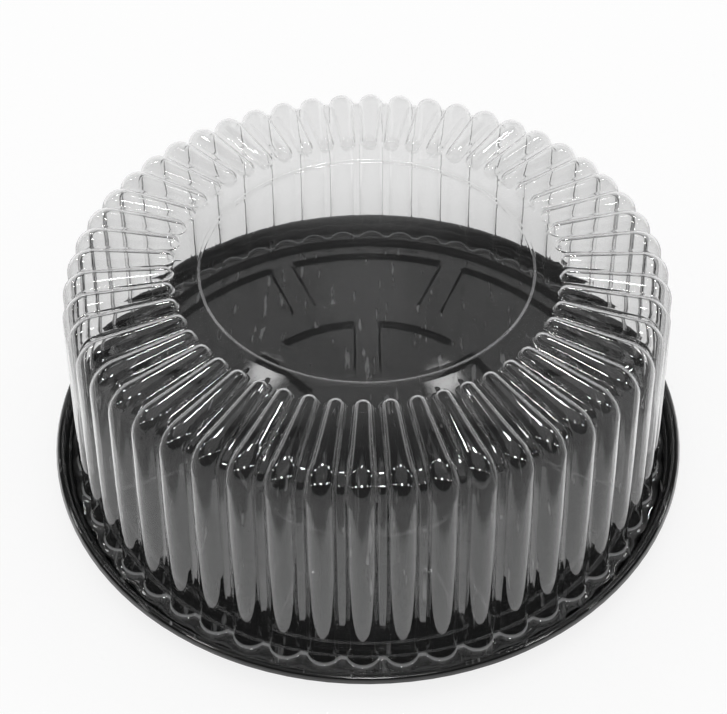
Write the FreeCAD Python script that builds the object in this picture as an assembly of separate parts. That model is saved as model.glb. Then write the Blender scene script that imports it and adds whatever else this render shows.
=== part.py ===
import FreeCAD, Part
import math
import os

# Round cake container: a shallow tray and a clear fluted dome that lifts straight off it.
# Millimetres and degrees. +Z is up, and the origin is under the middle of the tray.

# Sheet thicknesses of the two formed pieces
tray_sheet = 0.7
lid_sheet = 0.5

# Tray rim, from the skirt's edge inwards: skirt, raised lip, ledge for the dome's flange, and dish
tray_radius = 150.0
lip_height = 13.6
skirt_drop = 2.4
skirt_run = 1.3
lip_width = 2.4
lip_draft = 1.3
ledge_height = 6.7
dish_clearance = 1.0
dish_draft = 2.2
fold_radius = 1.2
ledge_fillet = 0.8
dish_fillet = 3.0

# Tray floor: ribs left standing between recessed panels, in two rings.
# The shares are of the outer ring's radius.
panel_count = 8
panel_turn = 90.0
panel_margin = 6.0
panel_depth = 2.5
panel_wall_run = 3.0
panel_corner = 4.0
rib_width = 10.0
outer_start_share = 0.68
inner_end_share = 0.565

# Dome: flange, drafted wall, rounded corner and top panel with a shallow round recess.
# The recess's share is of the shoulder's radius.
flange_clearance = 1.2
flange_width = 7.6
wall_lean = 10.6
dome_rise = 99.5
corner_radius = 5.0
ring_share = 0.568
ring_step = 0.8
ring_run = 1.0

# Flutes: arched ribs from the top panel over the corner and down the wall. The tip's share is of
# the shoulder's radius, the valley's of the pitch at the tips, the rise's of the width at the tips.
flute_count = 52
flute_tip_share = 0.66
valley_share = 0.3
flute_rise_share = 0.57
flute_root = 1.5
corner_stations = 5
lid_turn = -91.17

# Overrun of every cut past the face it opens, and what counts as touching and as facing alike
overrun = 2.0
touch = 0.001
facing_share = 0.999999

# Radii that follow from the sizes above, from the rim inwards
lip_outer = tray_radius - skirt_run
lip_inner = lip_outer - lip_width
lip_radius = lip_inner - lip_draft
flange_radius = lip_radius - flange_clearance
foot_radius = flange_radius - flange_width
shoulder_radius = foot_radius - wall_lean
dish_radius = foot_radius - lid_sheet - dish_clearance
floor_radius = dish_radius - dish_draft
outer_panel_radius = floor_radius - panel_margin
outer_panel_start = outer_panel_radius * outer_start_share
inner_panel_radius = outer_panel_radius * inner_end_share
inner_panel_start = (rib_width / 2 + panel_wall_run + panel_corner) / math.sin(math.pi / panel_count)
ring_radius = shoulder_radius * ring_share
flute_tip_radius = shoulder_radius * flute_tip_share

# Levels, angles and flute sizes that follow
rib_level = tray_sheet + panel_depth
panel_level = ledge_height + dome_rise
draft_angle = math.atan2(wall_lean, dome_rise)
flute_pitch = 360.0 / flute_count
tip_pitch = 2 * math.pi * flute_tip_radius / flute_count
valley_width = tip_pitch * valley_share
flute_height = (tip_pitch - valley_width) * flute_rise_share

AXIS = FreeCAD.Vector(0, 0, 1)
ORIGIN = FreeCAD.Vector(0, 0, 0)


def at(radius, z):
    """Point of a profile drawn in the plane of +X and +Z."""
    return FreeCAD.Vector(radius, 0, z)


def polar(radius, degrees, z):
    """Point at an angle from +X, seen from above."""
    turn = math.radians(degrees)
    return FreeCAD.Vector(radius * math.cos(turn), radius * math.sin(turn), z)


def rounded_run(corners, radii):
    """Edges of an open line through the corners, each inner corner rounded by its radius."""
    edges = []
    start = corners[0]
    for before, corner, after, radius in zip(corners, corners[1:], corners[2:], radii):
        back = (before - corner).normalize()
        ahead = (after - corner).normalize()
        half = back.getAngle(ahead) / 2
        reach = radius / math.tan(half)
        middle = (back + ahead).normalize()
        nearest = corner + middle * (radius / math.sin(half) - radius)
        entry = corner + back * reach
        leave = corner + ahead * reach
        edges.append(Part.makeLine(start, entry))
        edges.append(Part.Arc(entry, nearest, leave).toShape())
        start = leave
    edges.append(Part.makeLine(start, corners[-1]))
    return edges


def tray_profile():
    """Closed section of the tray's sheet, from the middle of the floor to the skirt's edge."""
    upper = [
        at(0, rib_level),
        at(floor_radius, rib_level),
        at(dish_radius, ledge_height),
        at(lip_radius, ledge_height),
        at(lip_inner, lip_height),
        at(lip_outer, lip_height),
        at(tray_radius, lip_height - skirt_drop),
    ]
    radii = [dish_fillet, fold_radius, ledge_fillet, fold_radius, fold_radius]
    skin = Part.Wire(rounded_run(upper, radii))
    return skin.makeOffset2D(-tray_sheet, 0, True, True)


def panel_outline(start, end, grow, z):
    """Outline of a recessed panel that faces +X between two ribs, grown on every side."""
    half_rib = rib_width / 2 - grow
    half_pitch = 180.0 / panel_count
    low = start - grow
    high = end + grow
    low_turn = half_pitch - math.degrees(math.asin(half_rib / low))
    high_turn = half_pitch - math.degrees(math.asin(half_rib / high))
    corners = [polar(low, -low_turn, z), polar(high, -high_turn, z)]
    corners += [polar(high, high_turn, z), polar(low, low_turn, z)]
    edges = [
        Part.makeLine(corners[0], corners[1]),
        Part.Arc(corners[1], polar(high, 0, z), corners[2]).toShape(),
        Part.makeLine(corners[2], corners[3]),
        Part.Arc(corners[3], polar(low, 0, z), corners[0]).toShape(),
    ]
    return Part.Wire(edges)


def panel_body(start, end, skin, low, high):
    """Sloping-sided plug of a panel, its walls moved out by a sheet thickness, corners rounded."""
    slope = panel_wall_run / panel_depth
    spread = skin * math.hypot(panel_wall_run, panel_depth) / panel_depth
    outlines = [panel_outline(start, end, (z - rib_level) * slope + spread, z) for z in (low, high)]
    plug = Part.makeLoft(outlines, True, True)
    sides = [edge for edge in plug.Edges if edge.BoundBox.ZLength > (high - low) / 2]
    return plug.makeFillet(panel_corner + skin, sides)


def ring_of(shape, count, first):
    """Copies of a shape spaced evenly round the axis, the first turned by an angle."""
    copies = []
    for index in range(count):
        turned = shape.copy()
        turned.rotate(ORIGIN, AXIS, first + 360.0 * index / count)
        copies.append(turned)
    return copies


def make_tray():
    """Tray: one formed sheet, revolved, with two rings of recessed panels in its floor."""
    tray = tray_profile().revolve(ORIGIN, AXIS, 360)
    half_pitch = 180.0 / panel_count
    rings = [
        (outer_panel_start, outer_panel_radius, panel_turn),
        (inner_panel_start, inner_panel_radius, panel_turn + half_pitch),
    ]
    pans = []
    hollows = []
    for start, end, first in rings:
        pan = panel_body(start, end, tray_sheet, 0, rib_level - tray_sheet / 2)
        hollow = panel_body(start, end, 0, tray_sheet, rib_level + tray_sheet)
        pans += ring_of(pan, panel_count, first)
        hollows += ring_of(hollow, panel_count, first)
    return tray.fuse(pans).cut(hollows)


def dome_core(inset):
    """Sector of the dome's plain body under the flutes, its outer skin moved in by an inset."""
    top = panel_level - inset
    lean = inset / math.cos(draft_angle) - inset * math.tan(draft_angle)
    foot = ledge_height - overrun
    foot_out = overrun * math.tan(draft_angle)
    corners = [
        at(0, top - ring_step),
        at(ring_radius, top - ring_step),
        at(ring_radius + ring_run, top),
        at(shoulder_radius - lean, top),
        at(foot_radius - inset / math.cos(draft_angle) + foot_out, foot),
    ]
    radii = [ring_step / 2, ring_step / 2, corner_radius - inset]
    edges = rounded_run(corners, radii)
    edges.append(Part.makeLine(corners[-1], at(0, foot)))
    edges.append(Part.makeLine(at(0, foot), corners[0]))
    face = Part.Face(Part.Wire(edges))
    face.rotate(ORIGIN, AXIS, -flute_pitch / 2)
    return face.revolve(ORIGIN, AXIS, flute_pitch)


def flute_radius(radius):
    """Radius of the flute's arch where the valley floor has the given radius."""
    half_width = (2 * math.pi * radius / flute_count - valley_width) / 2
    return (half_width ** 2 + flute_height ** 2) / (2 * flute_height)


def flute_section(radius, z, lean, inset):
    """Arch across a flute: a circle cut off by a chord that lies under the valley floor.

    The lean is the angle of the surface's normal from straight up, out of the axis.
    """
    normal = FreeCAD.Vector(math.sin(lean), 0, math.cos(lean))
    side = FreeCAD.Vector(0, 1, 0)
    full = flute_radius(radius)
    arch = full - inset
    centre = at(radius, z) + normal * (flute_height - full)
    drop = full - flute_height - flute_root
    half = math.sqrt(arch ** 2 - drop ** 2)
    left = centre + normal * drop - side * half
    right = centre + normal * drop + side * half
    crown = Part.Arc(left, centre + normal * arch, right).toShape()
    return Part.Wire([crown, Part.makeLine(right, left)])


def dome_flute(inset):
    """Flute facing +X, in four lengths: round tip, shoulder, corner and wall."""
    turn = math.pi / 2 - draft_angle
    reach = corner_radius * math.tan(turn / 2)
    bend = at(shoulder_radius - reach, panel_level - corner_radius)
    tip = flute_tip_radius + flute_radius(flute_tip_radius + flute_height)
    tip_arch = flute_radius(tip)
    tip_centre = at(tip, panel_level + flute_height - tip_arch)
    corner = []
    for station in range(corner_stations):
        lean = turn * station / (corner_stations - 1)
        corner.append(flute_section(
            bend.x + corner_radius * math.sin(lean),
            bend.z + corner_radius * math.cos(lean), lean, inset))
    foot = flute_section(
        foot_radius + overrun * math.tan(draft_angle), ledge_height - overrun, turn, inset)
    return [
        Part.makeSphere(tip_arch - inset, tip_centre),
        Part.makeLoft([flute_section(tip, panel_level, 0, inset), corner[0]], True, True),
        Part.makeLoft(corner, True, False),
        Part.makeLoft([corner[-1], foot], True, True),
    ]


def dome_sector():
    """One flute's share of the dome, with its stretch of flange."""
    outer = dome_core(0).fuse(dome_flute(0))
    corners = [at(ring_radius, ledge_height), at(flange_radius, ledge_height)]
    corners += [at(flange_radius, ledge_height + lid_sheet), at(ring_radius, ledge_height + lid_sheet)]
    band = Part.Face(Part.makePolygon(corners + corners[:1]))
    band.rotate(ORIGIN, AXIS, -flute_pitch / 2)
    flange = band.revolve(ORIGIN, AXIS, flute_pitch)
    skin = outer.fuse(flange).cut(dome_core(lid_sheet).fuse(dome_flute(lid_sheet)))
    room_corner = FreeCAD.Vector(0, -tray_radius / 2, ledge_height)
    room = Part.makeBox(tray_radius, tray_radius, dome_rise * 2, room_corner)
    return skin.common(room)


def in_cut_plane(face):
    """Tell whether a face lies in one of the two planes that bound the sector."""
    if not isinstance(face.Surface, Part.Plane):
        return False
    for turn in (-flute_pitch / 2, flute_pitch / 2):
        normal = polar(1, turn + 90, 0)
        if abs(face.Surface.Axis.dot(normal)) > facing_share and abs(face.CenterOfMass.dot(normal)) < touch:
            return True
    return False


def make_dome():
    """Dome: the sector's skin repeated round the axis and sewn into one closed sheet."""
    skin = Part.Compound([face for face in dome_sector().Faces if not in_cut_plane(face)])
    faces = []
    for copy in ring_of(skin, flute_count, lid_turn):
        faces += copy.Faces
    shell = Part.Compound(faces)
    shell.sewShape(touch)
    dome = Part.Solid(shell.Shells[0])
    return dome.removeSplitter()


if __name__ == "__main__":
    os.makedirs("parts", exist_ok=True)
    for name, make in (("base_tray", make_tray), ("dome_lid", make_dome)):
        piece = make()
        box = piece.optimalBoundingBox()
        print(name, piece.isValid(), len(piece.Solids), round(piece.Volume), len(piece.Faces),
              [round(v, 2) for v in (box.XMin, box.YMin, box.ZMin, box.XMax, box.YMax, box.ZMax)])
        piece.exportStep("parts/" + name + ".step")
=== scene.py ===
import logging
import math
from dataclasses import dataclass
from enum import Enum
from typing import Sequence

import bpy
import numpy as np
from mathutils import Matrix, Vector


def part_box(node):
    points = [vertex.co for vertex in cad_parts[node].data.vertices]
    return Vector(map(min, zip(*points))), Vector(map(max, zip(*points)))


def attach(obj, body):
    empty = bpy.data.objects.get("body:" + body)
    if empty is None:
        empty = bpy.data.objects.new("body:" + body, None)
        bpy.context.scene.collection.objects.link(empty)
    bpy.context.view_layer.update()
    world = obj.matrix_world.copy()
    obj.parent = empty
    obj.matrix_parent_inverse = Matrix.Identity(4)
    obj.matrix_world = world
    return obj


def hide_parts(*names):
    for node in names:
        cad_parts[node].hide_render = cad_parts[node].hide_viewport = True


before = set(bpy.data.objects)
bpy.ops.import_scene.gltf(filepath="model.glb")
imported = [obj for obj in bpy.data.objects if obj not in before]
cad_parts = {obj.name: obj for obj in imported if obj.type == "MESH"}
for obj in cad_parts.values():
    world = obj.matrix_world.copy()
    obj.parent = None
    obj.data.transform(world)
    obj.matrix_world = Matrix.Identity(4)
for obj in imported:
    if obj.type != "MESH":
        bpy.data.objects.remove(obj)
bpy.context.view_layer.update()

# Round cake container: a glossy black tray and a clear fluted dome that lifts off it.
# Metres, +Z up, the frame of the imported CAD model.

LOG = logging.getLogger("cake_container")

Grid = np.ndarray
Colour = tuple[float, float, float]
Direction = tuple[float, float, float]
Point = tuple[float, float, float]
Pair = tuple[float, float]


class Body(Enum):
    """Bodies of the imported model, which the pieces move with."""

    TRAY = "tray"
    LID = "lid"


class Slot(Enum):
    """Material slots of the record."""

    TRAY_PLASTIC = "tray_plastic"
    CLEAR_PLASTIC = "clear_plastic"


class Ray(Enum):
    """Kinds of ray that the clear sheet, the floor, the card and the room tell apart."""

    CAMERA = "Is Camera Ray"
    SHADOW = "Is Shadow Ray"
    GLOSSY = "Is Glossy Ray"
    TRANSMISSION = "Is Transmission Ray"


def rounded_line(corners: Sequence[Pair], radii: Sequence[float], steps: int) -> Grid:
    """Points of an open line in radius and height, its inner corners rounded.

    Each corner gives way to an arc that touches both of its sides: the arc's centre lies on the
    corner's bisector at radius / sin(half the corner's angle), and its points are spaced evenly.

    Args:
        corners: Radius and height of each corner, in order.
        radii: Rounding radius of each inner corner.
        steps: Number of steps along each arc.

    Returns:
        Array of (points, 2).
    """
    line = np.asarray(corners, float)
    pieces = [line[:1]]
    for before, corner, after, radius in zip(line, line[1:], line[2:], radii):
        back = (before - corner) / np.linalg.norm(before - corner)
        ahead = (after - corner) / np.linalg.norm(after - corner)
        half = math.acos(float(np.clip(back @ ahead, -1, 1))) / 2
        middle = (back + ahead) / np.linalg.norm(back + ahead)
        centre = corner + middle * radius / math.sin(half)
        entry = corner + back * radius / math.tan(half) - centre
        turn = math.pi - 2 * half
        side = math.copysign(1.0, float(back[1] * ahead[0] - back[0] * ahead[1]))
        angles = side * np.linspace(0, turn, steps + 1)
        cos, sin = np.cos(angles), np.sin(angles)
        arc = np.stack([entry[0] * cos - entry[1] * sin, entry[0] * sin + entry[1] * cos], -1)
        pieces.append(centre + arc)
    pieces.append(line[-1:])
    return np.concatenate(pieces)


def ring_points(radius: Grid, turn: Grid, height: Grid) -> Grid:
    """Points from radius, angle from +X and height, broadcast against each other."""
    return np.stack(np.broadcast_arrays(radius * np.cos(turn), radius * np.sin(turn), height), -1)


def skin_normals(skin: Grid) -> Grid:
    """Unit normals of a round grid, pointing away from the sheet's under side.

    The normal is the cross product of the step along a row's meridian and the step round the
    axis, both taken between neighbours on either side. The first row is the pole.

    Args:
        skin: Grid of (rows, columns, 3), from the pole outwards and anticlockwise from above.

    Returns:
        Grid of the same shape.
    """
    along = np.gradient(skin, axis=0)
    around = np.roll(skin, -1, axis=1) - np.roll(skin, 1, axis=1)
    normals = np.cross(along, around)
    normals[0] = (0, 0, 1)
    return normals / np.linalg.norm(normals, axis=-1, keepdims=True)


def add_object(name: str, data: bpy.types.ID) -> bpy.types.Object:
    """Put a mesh, light or camera into the scene.

    Args:
        name: Name of the object.
        data: The mesh, light or camera.

    Returns:
        The new object.
    """
    added = bpy.data.objects.new(name, data)
    bpy.context.scene.collection.objects.link(added)
    return added


def quad_object(name: str, corners: Sequence[Point], material: bpy.types.Material) -> bpy.types.Object:
    """Put a flat four-sided sheet into the scene.

    Args:
        name: Name of the object.
        corners: Its four corners, in order.
        material: Its material.

    Returns:
        The new object.
    """
    mesh = bpy.data.meshes.new(name)
    mesh.from_pydata(corners, [], [(0, 1, 2, 3)])
    mesh.materials.append(material)
    return add_object(name, mesh)


def sheet_object(name: str, top: Grid, thickness: float) -> bpy.types.Object:
    """Closed sheet with the given upper skin, its lower skin one thickness below it.

    Args:
        name: Name of the object.
        top: Grid of (rows, columns, 3); the first row is the pole, all of its points alike.
        thickness: Thickness of the sheet, measured along the upper skin's normals.

    Returns:
        The new object, smooth-shaded except for the cut edge.
    """
    under = top - thickness * skin_normals(top)
    rows, columns = top.shape[0] - 1, top.shape[1]
    size = rows * columns + 1
    above, below = top[1:].reshape(-1, 3), under[1:].reshape(-1, 3)
    points = np.concatenate([top[0, :1], above, under[0, :1], below])
    here = np.arange(columns)
    there = np.roll(here, -1)
    ring = 1 + columns * np.arange(rows)[:, None]
    inner, outer = ring[:-1], ring[1:]
    quads = np.stack([inner + here, outer + here, outer + there, inner + there], -1).reshape(-1, 4)
    fan = np.stack([np.zeros_like(here), 1 + here, 1 + there], -1)
    last = ring[-1]
    edge = np.stack([last + here, size + last + here, size + last + there, last + there], -1)
    faces = quads.tolist() + (size + quads[:, ::-1]).tolist()
    faces += fan.tolist() + (size + fan[:, ::-1]).tolist() + edge.tolist()
    mesh = bpy.data.meshes.new(name)
    mesh.from_pydata(points, [], faces)
    smooth = np.ones(len(faces), bool)
    smooth[-columns:] = False
    mesh.polygons.foreach_set("use_smooth", smooth)
    mesh.update()
    return add_object(name, mesh)


@dataclass
class Nodes:
    """Node tree of a material or world, with short ways to add and join nodes."""

    tree: bpy.types.NodeTree

    def add(self, kind: str, **values: object) -> bpy.types.Node:
        """Add a node and set its properties.

        Args:
            kind: Blender's name for the kind of node.
            values: Properties of the node, by name.

        Returns:
            The new node.
        """
        node = self.tree.nodes.new(kind)
        for key, value in values.items():
            setattr(node, key, value)
        return node

    def join(self, source: bpy.types.NodeSocket, target: bpy.types.NodeSocket) -> None:
        """Link one socket to another."""
        self.tree.links.new(source, target)

    def math(self, operation: str, first: object, second: object = None) -> bpy.types.NodeSocket:
        """Add a Math node on sockets or numbers.

        Args:
            operation: Blender's name for the operation.
            first: Socket or number.
            second: Socket or number, left out for a one-sided operation.

        Returns:
            The node's output.
        """
        node = self.add("ShaderNodeMath", operation=operation)
        for value, socket in zip((first, second), node.inputs):
            if isinstance(value, bpy.types.NodeSocket):
                self.join(value, socket)
            elif value is not None:
                socket.default_value = value
        return node.outputs[0]

    def ramp(self, value: bpy.types.NodeSocket, span: Pair, ends: Pair) -> bpy.types.NodeSocket:
        """Smooth step from one value to another as the input crosses a span.

        Args:
            value: The input.
            span: Inputs at which the step begins and ends.
            ends: Values before and after the step.

        Returns:
            The value reached.
        """
        node = self.add("ShaderNodeMapRange", interpolation_type="SMOOTHSTEP")
        self.join(value, node.inputs["Value"])
        for name, number in zip(("From Min", "From Max", "To Min", "To Max"), (*span, *ends)):
            node.inputs[name].default_value = number
        return node.outputs["Result"]

    def mix(self, factor: bpy.types.NodeSocket, first: object, second: object) -> bpy.types.NodeSocket:
        """Mix two values by a factor.

        Args:
            factor: Share of the second value.
            first: Socket or number.
            second: Socket or number.

        Returns:
            The mixed value.
        """
        node = self.add("ShaderNodeMix", data_type="FLOAT")
        self.join(factor, node.inputs["Factor"])
        for value, name in ((first, "A"), (second, "B")):
            if isinstance(value, bpy.types.NodeSocket):
                self.join(value, node.inputs[name])
            else:
                node.inputs[name].default_value = value
        return node.outputs["Result"]

    def ray(self, kind: Ray) -> bpy.types.NodeSocket:
        """Socket that is 1 for rays of one kind, and 0 for the others."""
        return self.add("ShaderNodeLightPath").outputs[kind.value]

    def sight(self) -> bpy.types.NodeSocket:
        """Socket that is 1 for rays that see straight or through the dome, and 0 for the others."""
        return self.math("MAXIMUM", self.ray(Ray.CAMERA), self.ray(Ray.TRANSMISSION))

    def mirror(self) -> bpy.types.NodeSocket:
        """Socket that is 1 for rays that were mirrored and not let through, and 0 for the others."""
        left = self.math("SUBTRACT", self.ray(Ray.GLOSSY), self.ray(Ray.TRANSMISSION))
        return self.math("MAXIMUM", left, 0.0)

    def place(self, kind: str = "Object") -> bpy.types.NodeSocket:
        """Coordinates of one kind, by default the piece's own."""
        return self.add("ShaderNodeTexCoord").outputs[kind]

    def split(self, vector: bpy.types.NodeSocket) -> bpy.types.bpy_prop_collection:
        """Take a vector apart.

        Args:
            vector: The vector.

        Returns:
            Its sockets X, Y and Z, under those names.
        """
        node = self.add("ShaderNodeSeparateXYZ")
        self.join(vector, node.inputs["Vector"])
        return node.outputs

    def show_mix(
        self,
        factor: bpy.types.NodeSocket,
        first: bpy.types.Node,
        second: bpy.types.Node,
        output: bpy.types.Node,
    ) -> None:
        """Mix two shaders and show the mix.

        Args:
            factor: Share of the second shader.
            first: The first shader.
            second: The second shader.
            output: Output node of the tree.
        """
        node = self.add("ShaderNodeMixShader")
        self.join(factor, node.inputs["Fac"])
        self.join(first.outputs[0], node.inputs[1])
        self.join(second.outputs[0], node.inputs[2])
        self.join(node.outputs["Shader"], output.inputs["Surface"])

    def noise(self, scale: float, stretch: float = 1.0, detail: float = 3.0) -> bpy.types.NodeSocket:
        """Noise on the piece's own coordinates, as a height from 0 to 1.

        Args:
            scale: Waves per metre.
            stretch: Share of that scale along Y, less than 1 for marks drawn out along Y.
            detail: Octaves of finer noise.

        Returns:
            The noise's height.
        """
        sized = self.add("ShaderNodeVectorMath", operation="MULTIPLY")
        sized.inputs[1].default_value = (scale, scale * stretch, scale)
        node = self.add("ShaderNodeTexNoise")
        node.inputs["Scale"].default_value = 1.0
        node.inputs["Detail"].default_value = detail
        self.join(self.place(), sized.inputs[0])
        self.join(sized.outputs["Vector"], node.inputs["Vector"])
        return node.outputs["Fac"]

    def reach(self) -> bpy.types.NodeSocket:
        """Work out the distance from the upright axis through the origin.

        Returns:
            The length of the point's X and Y.
        """
        level = self.add("ShaderNodeVectorMath", operation="MULTIPLY")
        level.inputs[1].default_value = (1, 1, 0)
        length = self.add("ShaderNodeVectorMath", operation="LENGTH")
        self.join(self.place(), level.inputs[0])
        self.join(level.outputs["Vector"], length.inputs[0])
        return length.outputs["Value"]

    def bump(self, height: bpy.types.NodeSocket, strength: float, distance: float) -> bpy.types.NodeSocket:
        """Bump the surface.

        Args:
            height: Height of the surface, from 0 to 1.
            strength: Share of the bump that shows.
            distance: Height of a full bump, in metres.

        Returns:
            The bumped normal.
        """
        node = self.add("ShaderNodeBump")
        node.inputs["Strength"].default_value = strength
        node.inputs["Distance"].default_value = distance
        self.join(height, node.inputs["Height"])
        return node.outputs["Normal"]


def material_nodes(name: str) -> tuple[bpy.types.Material, Nodes, bpy.types.Node, bpy.types.Node]:
    """Start a material.

    Args:
        name: Name of the material.

    Returns:
        The material, its nodes, its Principled shader and its output node.
    """
    material = bpy.data.materials.new(name)
    material.use_nodes = True
    nodes = material.node_tree.nodes
    return material, Nodes(material.node_tree), nodes["Principled BSDF"], nodes["Material Output"]


@dataclass(frozen=True)
class ClearSheet:
    """Clear formed plastic: faintly uneven, with painted shade along the slant and a painted highlight at
    the foot's fold.
    """

    foot_level: float
    name: str = "clear_sheet"
    tint: Colour = (0.97, 0.98, 0.98)
    clear_share: float = 0.9
    # Painted shade: share of the tint left where the sheet is seen at a slant.
    edge_shade_share: float = 0.4
    edge_shade_span: Pair = (0.94, 1.0)
    refraction: float = 1.57
    roughness: float = 0.02
    wave_scale: float = 38.0
    wave_depth: float = 0.0002
    wave_strength: float = 0.25
    # Painted highlight: a light band just over the foot's fold, where less light goes through.
    foot_highlight_share: float = 0.35
    foot_highlight_rise: Pair = (0.0001, 0.0004)
    foot_highlight_fall: Pair = (0.0010, 0.0018)

    def material(self) -> bpy.types.Material:
        """Build the material.

        Returns:
            Principled transmission for sight, and a transparent shader for shadow rays.
        """
        material, nodes, shader, output = material_nodes(self.name)
        # Painted shade: the base colour darkens where the sheet is seen at a slant, for dark outlines
        # along the flutes.
        slant = nodes.add("ShaderNodeLayerWeight")
        shade = nodes.ramp(slant.outputs["Facing"], self.edge_shade_span, (self.clear_share, self.edge_shade_share))
        nodes.join(shade, shader.inputs["Base Color"])
        # Painted highlight: over the foot's fold the sheet lets less light through and shows its lit base
        # colour as a light band.
        height = nodes.math("SUBTRACT", nodes.split(nodes.place())["Z"], self.foot_level)
        rise = nodes.ramp(height, self.foot_highlight_rise, (0.0, self.foot_highlight_share))
        fold = nodes.math("MULTIPLY", rise, nodes.ramp(height, self.foot_highlight_fall, (1.0, 0.0)))
        nodes.join(nodes.math("SUBTRACT", 1.0, fold), shader.inputs["Transmission Weight"])
        shader.inputs["IOR"].default_value = self.refraction
        shader.inputs["Roughness"].default_value = self.roughness
        uneven = nodes.bump(nodes.noise(self.wave_scale), self.wave_strength, self.wave_depth)
        nodes.join(uneven, shader.inputs["Normal"])
        through = nodes.add("ShaderNodeBsdfTransparent")
        through.inputs["Color"].default_value = (*self.tint, 1)
        nodes.show_mix(nodes.ray(Ray.SHADOW), shader, through, output)
        return material


@dataclass(frozen=True)
class BlackSheet:
    """Black formed plastic: glossy, with fine raised marks drawn front to back where it lies flat, and
    painted glints on them.
    """

    name: str = "black_sheet"
    colour: float = 0.006
    roughness: float = 0.07
    refraction: float = 1.56
    slope_span: Pair = (0.9, 0.985)
    mark_and_glint_scale: float = 230.0
    mark_and_glint_stretch: float = 0.17
    mark_depth: float = 0.0004
    mark_strength: float = 0.5
    # Painted glints: colour of the lighter streaks, in place of lamps reflected off the marks.
    painted_glint_colour: float = 0.26
    painted_glint_span: Pair = (0.62, 0.71)

    def material(self) -> bpy.types.Material:
        """Build the material.

        Returns:
            Principled plastic whose marks are raised and carry painted glints, a lighter colour in place
            of reflected lamps; both fade out on the slopes of the sheet.
        """
        material, nodes, shader, _ = material_nodes(self.name)
        shader.inputs["Roughness"].default_value = self.roughness
        shader.inputs["IOR"].default_value = self.refraction
        flat = nodes.ramp(nodes.split(nodes.place("Normal"))["Z"], self.slope_span, (0.0, 1.0))
        drawn = nodes.noise(self.mark_and_glint_scale, self.mark_and_glint_stretch)
        raised = nodes.math("MULTIPLY", drawn, flat)
        # Painted glints: where the noise is high on the flats the colour lightens, in place of lamps
        # glinting off the marks.
        painted_glints = nodes.math("MULTIPLY", nodes.ramp(drawn, self.painted_glint_span, (0.0, 1.0)), flat)
        nodes.join(nodes.mix(painted_glints, self.colour, self.painted_glint_colour), shader.inputs["Base Color"])
        nodes.join(nodes.bump(raised, self.mark_strength, self.mark_depth), shader.inputs["Normal"])
        return material


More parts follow.
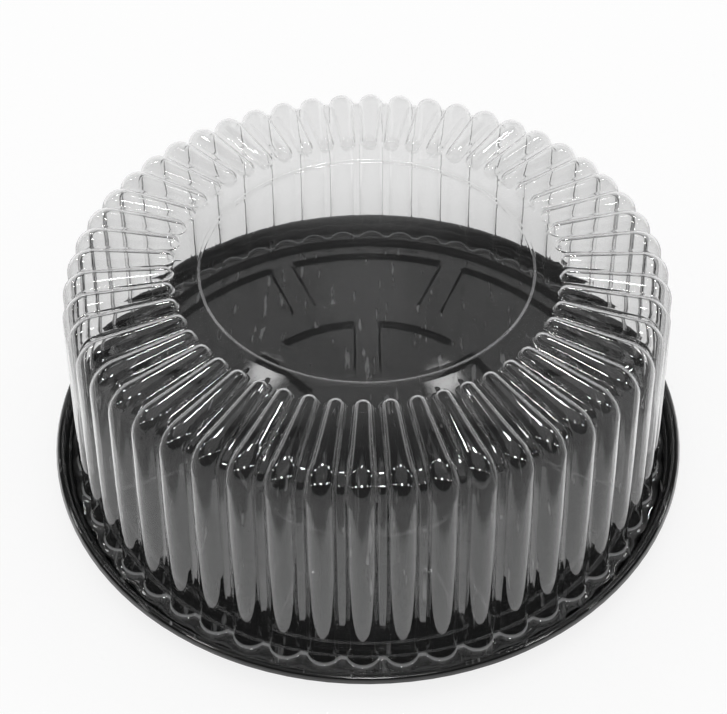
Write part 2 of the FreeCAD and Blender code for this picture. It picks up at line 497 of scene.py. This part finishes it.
@dataclass
class Tray:
    """Tray: one formed sheet with a dish, a ledge, a raised lip and two rings of recessed panels."""

    radius: float
    lip_height: float
    finish: BlackSheet
    sheet: float = 0.0007
    skirt_drop: float = 0.0024
    skirt_run: float = 0.0013
    lip_width: float = 0.0024
    lip_draft: float = 0.0013
    ledge_height: float = 0.0067
    dish_radius: float = 0.1347
    dish_draft: float = 0.0022
    fold_radius: float = 0.0012
    ledge_fillet: float = 0.0008
    dish_fillet: float = 0.003
    panel_count: int = 8
    panel_depth: float = 0.0025
    panel_wall_run: float = 0.003
    wall_overrun_share: float = 1 / 6
    panel_corner: float = 0.004
    rib_width: float = 0.010
    panel_margin: float = 0.006
    outer_start_share: float = 0.68
    inner_end_share: float = 0.565
    wall_columns: int = 7
    plain_columns: int = 6
    wall_rows: int = 7
    plain_rows: int = 5
    fold_steps: int = 5

    @property
    def rib_level(self) -> float:
        """Height of the ribs, the floor that a cake stands on."""
        return self.sheet + self.panel_depth

    @property
    def outer_ring(self) -> Pair:
        """Inner and outer radius of the outer ring of panels."""
        end = self.dish_radius - self.dish_draft - self.panel_margin
        return end * self.outer_start_share, end

    @property
    def inner_ring(self) -> Pair:
        """Inner and outer radius of the inner ring of panels."""
        room = self.rib_width / 2 + self.panel_wall_run + self.panel_corner
        return room / math.sin(math.pi / self.panel_count), self.outer_ring[1] * self.inner_end_share

    def wall_spread(self, count: int) -> Grid:
        """Places across a panel's wall, from a little before it to a little beyond it."""
        over = self.wall_overrun_share
        return np.linspace(-over, 1 + over, count) * self.panel_wall_run

    def column_turns(self, radii: Grid) -> Grid:
        """Angles of the columns in one half pitch, measured from an inner rib's middle.

        The columns crowd where a panel's side wall stands, at a fixed distance from the middle of
        the rib: near the first side in the inner ring, and near the other side in the outer one.
        Between the rings the two spacings are mixed in proportion to the radius.

        Args:
            radii: Radii of the rows.

        Returns:
            Array of (rows, columns), from 0 to half a pitch.
        """
        half = math.pi / self.panel_count
        edge = self.rib_width / 2
        near = np.concatenate([[0.0, edge / 2], edge + self.wall_spread(self.wall_columns)])
        reach = np.arcsin(np.clip(near / np.maximum(radii, self.inner_ring[0])[:, None], 0, 1))
        shares = np.linspace(0, 1, self.plain_columns + 1)[1:]
        crowded = np.concatenate([reach, reach[:, -1:] + (half - reach[:, -1:]) * shares], axis=1)
        low, high = self.inner_ring[1], self.outer_ring[0]
        mix = np.clip((radii - low) / (high - low), 0, 1)[:, None]
        return crowded * (1 - mix) + (half - crowded[:, ::-1]) * mix

    def all_turns(self, radii: Grid) -> Grid:
        """Angles of every column round the tray, row by row.

        One pitch is the half pitch and its mirror image, repeated once for each panel.

        Args:
            radii: Radii of the rows.

        Returns:
            Array of (rows, columns).
        """
        half = self.column_turns(radii)
        pitch = 2 * math.pi / self.panel_count
        one = np.concatenate([half, pitch - half[:, -2:0:-1]], axis=1)
        firsts = pitch * np.arange(self.panel_count)
        return (firsts[None, :, None] + one[:, None, :]).reshape(len(radii), -1)

    def recess(self, radii: Grid, turns: Grid) -> Grid:
        """Depth of the panels below the ribs.

        Inside a panel the distance to its outline is the corner radius less the length of what
        the distances to the ribs and to the arcs fall short of it, so corners come out round. The
        depth runs along half a cosine wave over the width of the wall.

        Args:
            radii: Radii of the points, (rows, 1).
            turns: Angles of the points, (rows, columns).

        Returns:
            Array of (rows, columns).
        """
        pitch = 2 * math.pi / self.panel_count
        depth = np.zeros_like(turns)
        for (start, end), first in ((self.inner_ring, pitch / 2), (self.outer_ring, 0.0)):
            off = np.abs((turns - first + pitch / 2) % pitch - pitch / 2)
            side = radii * np.sin(pitch / 2 - off) - self.rib_width / 2
            arc = np.minimum(radii - start, end - radii)
            corner = self.panel_corner
            short = np.hypot(np.maximum(corner - side, 0), np.maximum(corner - arc, 0))
            inside = np.clip((corner - short) / self.panel_wall_run, 0, 1)
            depth += self.panel_depth * (0.5 - 0.5 * np.cos(math.pi * inside))
        return depth

    def floor_radii(self) -> Grid:
        """Radii of the floor's rows, crowded at the arcs where the panels' walls stand.

        Returns:
            Array of radii, from the pole outwards.
        """
        spread = self.wall_spread(self.wall_rows)
        rows = [np.array([0.0, self.inner_ring[0] / 2])]
        for start, end in (self.inner_ring, self.outer_ring):
            middle = np.linspace(start + spread[-1], end - spread[-1], self.plain_rows + 2)[1:-1]
            rows += [start + spread, middle, end - spread[::-1]]
        return np.concatenate(rows)

    def rim_line(self) -> Grid:
        """Line of the dish wall, ledge, lip and skirt, with rounded folds.

        Returns:
            Radius and height of its points, from the floor to the skirt's edge.
        """
        lip_outer = self.radius - self.skirt_run
        lip_inner = lip_outer - self.lip_width
        lip_foot = lip_inner - self.lip_draft
        corners = [
            (self.dish_radius - self.dish_draft - self.dish_fillet, self.rib_level),
            (self.dish_radius - self.dish_draft, self.rib_level),
            (self.dish_radius, self.ledge_height),
            (lip_foot, self.ledge_height),
            (lip_inner, self.lip_height),
            (lip_outer, self.lip_height),
            (self.radius, self.lip_height - self.skirt_drop),
        ]
        radii = [self.dish_fillet, self.fold_radius, self.ledge_fillet, self.fold_radius, self.fold_radius]
        return rounded_line(corners, radii, self.fold_steps)

    def build(self) -> bpy.types.Object:
        """Build and dress the tray.

        The floor's rows and the rim's line are turned about the axis, and the panels' depth is
        taken off the heights.

        Returns:
            The finished piece, riding on the tray's body.
        """
        floor = self.floor_radii()
        rim = self.rim_line()
        radii = np.concatenate([floor, rim[:, 0]])
        levels = np.concatenate([np.full_like(floor, self.rib_level), rim[:, 1]])[:, None]
        turns = self.all_turns(radii)
        levels = levels - self.recess(radii[:, None], turns)
        piece = sheet_object("tray_shell", ring_points(radii[:, None], turns, levels), self.sheet)
        piece.data.materials.append(self.finish.material())
        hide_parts("base_tray")
        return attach(piece, Body.TRAY.value)


@dataclass
class Dome:
    """Dome: one clear formed sheet with a round top panel, arched flutes and a flat flange."""

    flange_radius: float
    ledge_height: float
    crest_height: float
    finish: ClearSheet
    sheet: float = 0.0005
    flange_width: float = 0.0076
    wall_lean: float = 0.0106
    corner_radius: float = 0.009
    ring_share: float = 0.568
    ring_step: float = 0.0008
    ring_run: float = 0.0012
    ring_round: float = 0.001
    ring_inner_share: float = 0.97
    ring_steps: int = 3
    disc_shares: tuple[float, ...] = (0.0, 0.35, 0.7)
    flute_count: int = 52
    flute_tip_share: float = 0.66
    valley_share: float = 0.3
    flute_rise_share: float = 0.57
    valley_fillet: float = 0.0006
    foot_fillet: float = 0.0016
    tip_front_shares: tuple[float, ...] = (0.25, 0.6)
    first_turn: float = math.radians(-91.17)
    arch_columns: int = 6
    fillet_columns: int = 2
    valley_columns: int = 2
    annulus_rows: int = 2
    tip_rows: int = 6
    shoulder_rows: int = 4
    corner_rows: int = 10
    wall_rows: int = 6
    foot_rows: int = 3
    flange_rows: int = 2

    @property
    def foot_radius(self) -> float:
        """Radius of the valleys where the wall meets the flange."""
        return self.flange_radius - self.flange_width

    @property
    def shoulder_radius(self) -> float:
        """Radius at which the valleys' wall would meet the panel without the rounded corner."""
        return self.foot_radius - self.wall_lean

    @property
    def tip_radius(self) -> float:
        """Radius at which the flutes begin."""
        return self.shoulder_radius * self.flute_tip_share

    @property
    def valley_width(self) -> float:
        """Width of the flat between two flutes."""
        return 2 * math.pi * self.tip_radius / self.flute_count * self.valley_share

    @property
    def flute_height(self) -> float:
        """Height of the flutes over the valleys."""
        return self.valley_width * (1 / self.valley_share - 1) * self.flute_rise_share

    @property
    def panel_level(self) -> float:
        """Height of the top panel between the flutes."""
        return self.crest_height - self.flute_height

    def arch_radius(self, radius: Grid) -> Grid:
        """Radius of the flute's arch where the valley floor has the given radius."""
        half = math.pi * radius / self.flute_count - self.valley_width / 2
        return (half ** 2 + self.flute_height ** 2) / (2 * self.flute_height)

    def arch_end(self, arch: Grid) -> tuple[Grid, Grid]:
        """Lean of an arch where its fillet begins, and distance of the fillet's foot.

        The fillet touches both the arch and the valley floor: its centre is at the distance
        arch + fillet from the arch's centre and at the fillet's radius over the floor.

        Args:
            arch: Radius of the arch.

        Returns:
            Angle from upright, and distance from the flute's middle.
        """
        soft = self.valley_fillet
        end = np.arccos((soft + arch - self.flute_height) / (arch + soft))
        return end, (arch + soft) * np.sin(end)

    def section(self, radius: Grid, offset: Grid) -> tuple[Grid, Grid]:
        """Half of the cross-section of a flute, from its crest to the middle of the valley.

        An arch runs down to a fillet, and the fillet to the valley floor. At the flute's round tip
        they are turned about the tip's axis: a row that is offset from the axis is drawn in by the
        root of 1 - (offset / foot) squared, and a point's height follows from its distance to the
        axis.

        Args:
            radius: Radius of the valley floor, (rows,).
            offset: Distance of the row from the axis of the tip, zero beyond it, (rows,).

        Returns:
            Distance from the flute's middle and height over the floor, each (rows, columns).
        """
        soft = self.valley_fillet
        offset = offset[:, None]
        arch = self.arch_radius(radius[:, None] + offset)
        end, foot = self.arch_end(arch)
        lean = end * np.linspace(0, 1, self.arch_columns + 1)
        back = end * np.linspace(1, 0, self.fillet_columns + 1)[1:]
        drawn_in = np.sqrt(1 - (offset / foot) ** 2)
        near = drawn_in * np.concatenate([arch * np.sin(lean), foot - soft * np.sin(back)], axis=1)
        away = np.hypot(near, offset)
        crown = self.flute_height - arch + np.sqrt(np.maximum(arch ** 2 - away ** 2, 0))
        fillet = soft - np.sqrt(np.maximum(soft ** 2 - (foot - away) ** 2, 0))
        height = np.where(away < arch * np.sin(end), crown, fillet)
        middle = (math.pi * radius / self.flute_count)[:, None]
        outline = foot * drawn_in
        across = outline + (middle - outline) * np.linspace(0, 1, self.valley_columns + 1)[1:]
        return np.concatenate([near, across], axis=1), np.concatenate([height, 0 * across], axis=1)

    def rows(self) -> tuple[Grid, Grid, Grid, Grid]:
        """Rows of the fluted skin from the flutes' tips to the wall's foot.

        The valley floor runs level to the bend, turns down along an arc and runs straight to the
        foot. At the tips the rows lie at chosen leans of the turned arch and its fillet.

        Returns:
            Radius and height of the valley floor, lean of the normal from upright, and distance
            from the axis of the flute's round tip (zero beyond it).
        """
        draft = math.atan2(self.wall_lean, self.panel_level - self.ledge_height)
        turn = math.pi / 2 - draft
        bend = self.shoulder_radius - self.corner_radius * math.tan(turn / 2)
        first = self.tip_radius + self.flute_height
        centre = self.tip_radius + float(self.arch_radius(np.array(first)))
        arch = self.arch_radius(np.array(centre))
        end, foot = self.arch_end(arch)
        front = foot - self.valley_fillet * np.sin(end * np.array(self.tip_front_shares))
        back = np.concatenate([front, arch * np.sin(end * np.linspace(1, 0, self.tip_rows))])
        along = np.linspace(centre, bend, self.shoulder_rows + 2)[1:-1]
        lean = turn * np.linspace(0, 1, self.corner_rows)
        corner_r = bend + self.corner_radius * np.sin(lean)
        corner_z = self.panel_level - self.corner_radius * (1 - np.cos(lean))
        foot_z = self.ledge_height + self.sheet + self.foot_fillet
        foot_r = self.foot_radius - (foot_z - self.ledge_height) * math.tan(draft)
        share = np.linspace(0, 1, self.wall_rows + 1)[1:]
        wall_r = corner_r[-1] + (foot_r - corner_r[-1]) * share
        wall_z = corner_z[-1] + (foot_z - corner_z[-1]) * share
        flat = len(back) + len(along)
        radius = np.concatenate([centre - back, along, corner_r, wall_r])
        level = np.concatenate([np.full(flat, self.panel_level), corner_z, wall_z])
        tilt = np.concatenate([np.zeros(flat), lean, turn + draft * share])
        offset = np.concatenate([back, np.zeros(len(radius) - len(back))])
        return radius, level, tilt, offset

    def fluted_skin(self) -> Grid:
        """Grid of the fluted part, every flute alike.

        Each section is laid across the flute at its row: sideways by its reach, as an angle about
        the axis, and out along the row's normal by its height.

        Returns:
            Grid of (rows, columns, 3).
        """
        radius, level, tilt, offset = self.rows()
        reach, height = self.section(radius, offset)
        out = radius[:, None] + height * np.sin(tilt)[:, None]
        up = level[:, None] + height * np.cos(tilt)[:, None]
        half = reach / radius[:, None]
        pitch = 2 * math.pi / self.flute_count
        order = np.concatenate([np.arange(half.shape[1]), np.arange(half.shape[1] - 2, 0, -1)])
        sign = np.where(np.arange(len(order)) < half.shape[1], 1.0, -1.0)
        shift = np.where(sign > 0, 0.0, pitch)
        one = half[:, order] * sign + shift
        firsts = self.first_turn + pitch * np.arange(self.flute_count)
        turns = (firsts[None, :, None] + one[:, None, :]).reshape(len(radius), -1)
        repeats = (1, self.flute_count)
        return ring_points(np.tile(out[:, order], repeats), turns, np.tile(up[:, order], repeats))

    def top_skin(self, tips: Grid) -> Grid:
        """Grid of the plain top, from the pole over the ring's step to the flutes' tips.

        The line of the top is turned about the axis, with its columns at the angles of the tips.

        Args:
            tips: First row of the fluted skin, (columns, 3).

        Returns:
            Grid of (rows, columns, 3).
        """
        ring = self.shoulder_radius * self.ring_share
        low, high = self.panel_level - self.ring_step, self.panel_level
        end = self.tip_radius - self.valley_fillet
        inside, outside = ring * self.ring_inner_share, ring + self.ring_run
        corners = [(inside, low), (ring, low), (outside, high), (end, high)]
        edge = rounded_line(corners, [self.ring_round] * 2, self.ring_steps)
        disc = [(ring * share, low) for share in self.disc_shares]
        plain = [(radius, high) for radius in np.linspace(edge[-2, 0], end, self.annulus_rows + 2)[1:-1]]
        line = np.concatenate([disc, edge[:-1], plain, edge[-1:]])
        return ring_points(line[:, :1], np.arctan2(tips[:, 1], tips[:, 0]), line[:, 1:])

    def flange_skin(self, foot: Grid) -> Grid:
        """Grid of the foot's fillet and the flange.

        The fillet carries the outline of the wall's foot out and down along a quarter circle,
        and the flange runs from there straight to its round edge.

        Args:
            foot: Last row of the fluted skin, (columns, 3).

        Returns:
            Grid of (rows, columns, 3).
        """
        level = self.ledge_height + self.sheet
        reach = np.hypot(foot[:, 0], foot[:, 1])
        turn = np.arctan2(foot[:, 1], foot[:, 0])
        lean = np.linspace(0, math.pi / 2, self.foot_rows + 1)[1:, None]
        out = self.foot_fillet * (1 - np.cos(lean))
        down = self.foot_fillet * (1 - np.sin(lean))
        share = np.linspace(0, 1, self.flange_rows + 1)[1:, None]
        flat = reach + self.foot_fillet + (self.flange_radius - reach - self.foot_fillet) * share
        radius = np.concatenate([reach + out, flat])
        height = np.concatenate([level + down + 0 * reach, level + 0 * flat])
        return ring_points(radius, turn, height)

    def build(self) -> bpy.types.Object:
        """Build and dress the dome.

        The plain top, the fluted part and the flange follow each other as rows of one grid.

        Returns:
            The finished piece, riding on the lid's body.
        """
        fluted = self.fluted_skin()
        skin = np.concatenate([self.top_skin(fluted[0]), fluted, self.flange_skin(fluted[-1])])
        piece = sheet_object("dome_sheet", skin, self.sheet)
        piece.data.materials.append(self.finish.material())
        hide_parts("dome_lid")
        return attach(piece, Body.LID.value)


@dataclass(frozen=True)
class LampRow:
    """Row of small disc lamps under the ceiling, from left to right."""

    count: int
    spacing: float
    y: float
    power: float
    height: float = 2.4
    size: float = 0.16

    def build(self) -> None:
        """Hang the lamps, each turned towards the object."""
        for index in range(self.count):
            light = bpy.data.lights.new("spot", "AREA")
            light.shape = "DISK"
            light.size = self.size
            light.energy = self.power
            lamp = add_object("spot", light)
            lamp.location = ((index - (self.count - 1) / 2) * self.spacing, self.y, self.height)
            lamp.rotation_euler = (-lamp.location).to_track_quat("-Z", "Y").to_euler()


@dataclass
class Studio:
    """Pale floor, even grey light and small lamps, with a card and a room that the pieces mirror."""

    floor_half: float = 6.0
    floor_colour: Colour = (0.9, 0.9, 0.9)
    floor_glow: float = 0.75
    floor_white: float = 1.05
    reflected_white_span: Pair = (0.213, 0.238)
    reflected_white: float = 0.92
    reflected_dark: float = 0.1
    back_card_y: float = 0.22
    back_card_size: Pair = (1.2, 0.285)
    back_card_fade: Pair = (0.22, 0.28)
    back_card_glow: float = 1.0
    room_fill: float = 0.85
    wall_shade: float = 0.1
    wall_span: Pair = (0.2, 0.35)
    room_shade: float = 0.08
    ceiling_shade: float = 0.65
    ceiling_span: Pair = (0.75, 0.82)
    window_glow: float = 7.0
    window_span: Pair = (0.9996, 1.0)
    window_falloff: float = 6.0
    windows: tuple[Direction, ...] = ((-0.087, 0.692, 0.716), (0.065, 0.689, 0.722))
    spot_glow: float = 50.0
    spot_rows: tuple[float, ...] = (0.6, -0.65)
    spot_spacing: float = 1.0
    spot_radii: Pair = (0.12, 0.075)
    spot_reach: float = 2.3
    spot_lowest: float = 0.02
    lamps: LampRow = LampRow(count=5, spacing=1.0, y=1.2, power=0.5)

    def floor_material(self) -> bpy.types.Material:
        """White floor that still takes the object's shadow.

        Seen straight or through the dome it is a mix of even white and a matt surface. Mirrored in
        the dome it glows white out to a radius round the object, and dark beyond.

        Returns:
            The floor's material.
        """
        material, nodes, shader, output = material_nodes("pale_floor")
        shader.inputs["Base Color"].default_value = (*self.floor_colour, 1)
        shader.inputs["Roughness"].default_value = 1.0
        shader.inputs["Specular IOR Level"].default_value = 0.0
        mirrored = nodes.mirror()
        glow = nodes.add("ShaderNodeEmission")
        card = nodes.ramp(nodes.reach(), self.reflected_white_span, (self.reflected_white, self.reflected_dark))
        nodes.join(nodes.mix(mirrored, self.floor_white, card), glow.inputs["Strength"])
        straight = nodes.math("MULTIPLY", nodes.sight(), self.floor_glow)
        nodes.show_mix(nodes.math("MAXIMUM", straight, mirrored), shader, glow, output)
        return material

    def build_floor(self) -> None:
        """Lay the floor under the object."""
        half = self.floor_half
        corners = [(-half, -half, 0), (half, -half, 0), (half, half, 0), (-half, half, 0)]
        floor = quad_object("floor", corners, self.floor_material())

    def build_back_card(self) -> None:
        """Stand a white card behind the object, which only mirrored and let-through rays meet.

        The card glows evenly and fades out towards its top. To all other rays it is clear.
        """
        material, nodes, _, output = material_nodes("back_card")
        glow = nodes.add("ShaderNodeEmission")
        glow.inputs["Strength"].default_value = self.back_card_glow
        clear = nodes.add("ShaderNodeBsdfTransparent")
        fade = nodes.ramp(nodes.split(nodes.place())["Z"], self.back_card_fade, (1.0, 0.0))
        nodes.show_mix(nodes.math("MULTIPLY", nodes.ray(Ray.GLOSSY), fade), clear, glow, output)
        width, top = self.back_card_size
        half, y = width / 2, self.back_card_y
        corners = [(-half, y, 0), (half, y, 0), (half, y, top), (-half, y, top)]
        card = quad_object("back_card", corners, material)

    def ceiling_spots(
        self, nodes: Nodes, look: bpy.types.NodeSocket, up: bpy.types.NodeSocket
    ) -> bpy.types.NodeSocket:
        """Rows of small bright spots on a flat ceiling.

        A direction meets the ceiling at its X and Y over its Z. Its distance from the nearest spot
        follows from X taken to the middle of one spacing, and from Y less the row's place.

        Args:
            nodes: Node tree of the world.
            look: Direction of the ray.
            up: Z of the direction.

        Returns:
            Brightness of the spots, zero between them.
        """
        point = nodes.add("ShaderNodeVectorMath", operation="SCALE")
        nodes.join(look, point.inputs[0])
        stretch = nodes.math("DIVIDE", 1.0, nodes.math("MAXIMUM", up, self.spot_lowest))
        nodes.join(stretch, point.inputs["Scale"])
        parts = nodes.split(point.outputs["Vector"])
        wide, deep = self.spot_radii
        steps = nodes.math("DIVIDE", parts["X"], self.spot_spacing)
        cell = nodes.math("FRACT", nodes.math("ADD", steps, 0.5))
        across = nodes.math("MULTIPLY", nodes.math("SUBTRACT", cell, 0.5), self.spot_spacing / wide)
        square = nodes.math("MULTIPLY", across, across)
        total = 0.0
        for row in self.spot_rows:
            along = nodes.math("DIVIDE", nodes.math("SUBTRACT", parts["Y"], row), deep)
            gap = nodes.math("ADD", square, nodes.math("MULTIPLY", along, along))
            total = nodes.math("ADD", total, nodes.math("LESS_THAN", gap, 1.0))
        within = nodes.math("LESS_THAN", nodes.math("ABSOLUTE", parts["X"]), self.spot_reach)
        return nodes.math("MULTIPLY", nodes.math("MULTIPLY", total, within), self.spot_glow)

    def build_room(self) -> None:
        """Set the world: plain grey as light, and a dim room where it is seen.

        Seen straight or through the dome, the room is white at the horizon and dark above it.
        Mirrored, it is dark up to a grey ceiling with spots, with two small windows on the far side.
        """
        world = bpy.data.worlds.new("room")
        world.use_nodes = True
        bpy.context.scene.world = world
        nodes = Nodes(world.node_tree)
        background = world.node_tree.nodes["Background"]
        look = nodes.place("Generated")
        up = nodes.split(look)["Z"]
        horizon = nodes.ramp(up, self.wall_span, (1.0, self.wall_shade))
        mirrored = nodes.ramp(up, self.ceiling_span, (self.room_shade, self.ceiling_shade))
        mirrored = nodes.math("ADD", mirrored, self.ceiling_spots(nodes, look, up))
        for window in self.windows:
            near = nodes.add("ShaderNodeVectorMath", operation="DOT_PRODUCT")
            nodes.join(look, near.inputs[0])
            near.inputs[1].default_value = Vector(window).normalized()
            share = nodes.ramp(near.outputs["Value"], self.window_span, (0.0, 1.0))
            share = nodes.math("POWER", share, self.window_falloff)
            mirrored = nodes.math("ADD", mirrored, nodes.math("MULTIPLY", share, self.window_glow))
        seen = nodes.mix(nodes.sight(), self.room_fill, horizon)
        nodes.join(nodes.mix(nodes.mirror(), seen, mirrored), background.inputs["Color"])

    def build(self) -> None:
        """Build the floor, the card behind, the room and the lamps."""
        self.build_floor()
        self.build_back_card()
        self.build_room()
        self.lamps.build()


@dataclass(frozen=True)
class PhotoCamera:
    """Camera at the photograph's place, worked out from the rim's and the dome's outlines."""

    distance: float = 0.57692
    elevation: float = math.radians(47.525)
    roll: float = math.radians(-0.414)
    aim_height: float = 0.0131
    frame_px: tuple[int, int] = (727, 714)
    focal_px: float = 1183.2
    aim_px: Pair = (367.77, 406.68)
    sensor: float = 36.0
    clip_share: float = 0.02

    def build(self) -> bpy.types.Object:
        """Place the camera and make it the scene's.

        Returns:
            The camera object.
        """
        width, height = self.frame_px
        data = bpy.data.cameras.new("photo_camera")
        data.sensor_width = self.sensor
        data.lens = self.focal_px / width * self.sensor
        data.shift_x = (width / 2 - self.aim_px[0]) / width
        data.shift_y = (self.aim_px[1] - height / 2) / width
        data.clip_start = self.distance * self.clip_share
        camera = add_object("photo_camera", data)
        turn = Matrix.Rotation(math.pi / 2 - self.elevation, 4, "X") @ Matrix.Rotation(self.roll, 4, "Z")
        aim = Matrix.Translation((0, 0, self.aim_height))
        camera.matrix_world = aim @ turn @ Matrix.Translation((0, 0, self.distance))
        bpy.context.scene.camera = camera
        return camera


def main() -> None:
    """Build the tray, the dome, the studio and the camera, and report on them."""
    logging.basicConfig(level=logging.INFO, format="%(name)s: %(message)s")
    _, tray_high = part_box("base_tray")
    lid_low, lid_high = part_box("dome_lid")
    tray = Tray(radius=tray_high.x, lip_height=tray_high.z, finish=BlackSheet())
    clear = ClearSheet(foot_level=lid_low.z + Dome.sheet)
    dome = Dome(flange_radius=lid_high.x, ledge_height=lid_low.z, crest_height=lid_high.z, finish=clear)
    for piece in (tray.build(), dome.build()):
        LOG.info("%s: %d faces", piece.name, len(piece.data.polygons))
    Studio().build()
    PhotoCamera().build()
    bpy.context.scene.view_settings.view_transform = "Standard"


if __name__ == "__main__":
    main()
